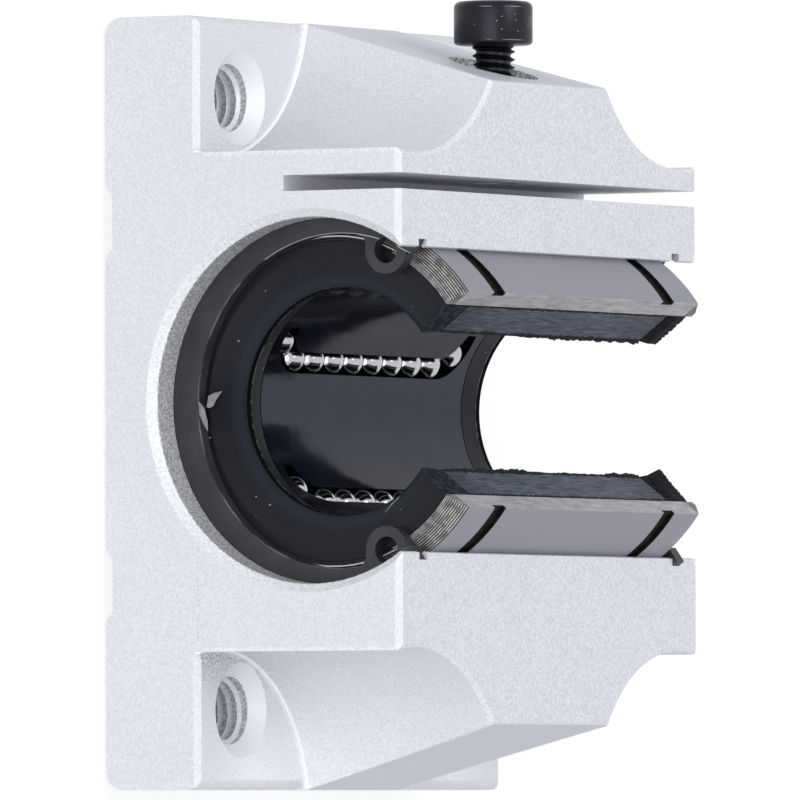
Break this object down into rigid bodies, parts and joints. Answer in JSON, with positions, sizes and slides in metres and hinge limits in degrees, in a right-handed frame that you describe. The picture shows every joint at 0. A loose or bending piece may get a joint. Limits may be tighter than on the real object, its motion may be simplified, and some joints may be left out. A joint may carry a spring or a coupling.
{
  "type": "linear bearing block",
  "caption": "Aluminium linear bearing block with an open ball bushing held by circlips, tapped flange holes and a clearance adjusting screw, for a supported round shaft.",
  "frame": {"origin": "centre of the flat mounting face of the block", "axes": "+X across the block away from the adjusting screw, +Y along the shaft, +Z from the mounting face to the open side"},
  "size_m": [0.0698, 0.051, 0.0339],
  "materials": {
    "housing": "bead blasted, clear anodised",
    "bushing_sleeve": "ground bearing steel",
    "ball_cage": "glossy moulded black resin",
    "end_seal": "satin moulded black rubber",
    "circlip": "phosphated black spring steel",
    "screw": "black oxide steel",
    "balls": "polished chrome steel"
  },
  "bodies": {
    "block": {"housing": "housing", "bushing_sleeve": "bushing_sleeve", "ball_cage": "ball_cage", "end_seal_front": "end_seal", "end_seal_back": "end_seal", "circlip_front": "circlip", "circlip_back": "circlip", "ball_circuit_1": "balls", "ball_circuit_2": "balls", "ball_circuit_3": "balls", "ball_circuit_4": "balls"},
    "screw": {"adjusting_screw": "screw"}
  },
  "joints": [
    {"name": "screw_travel", "type": "slide", "parent": "block", "child": "screw", "axis": [1, 0, 0], "range_m": [-0.006, 0.0016]}
  ]
}
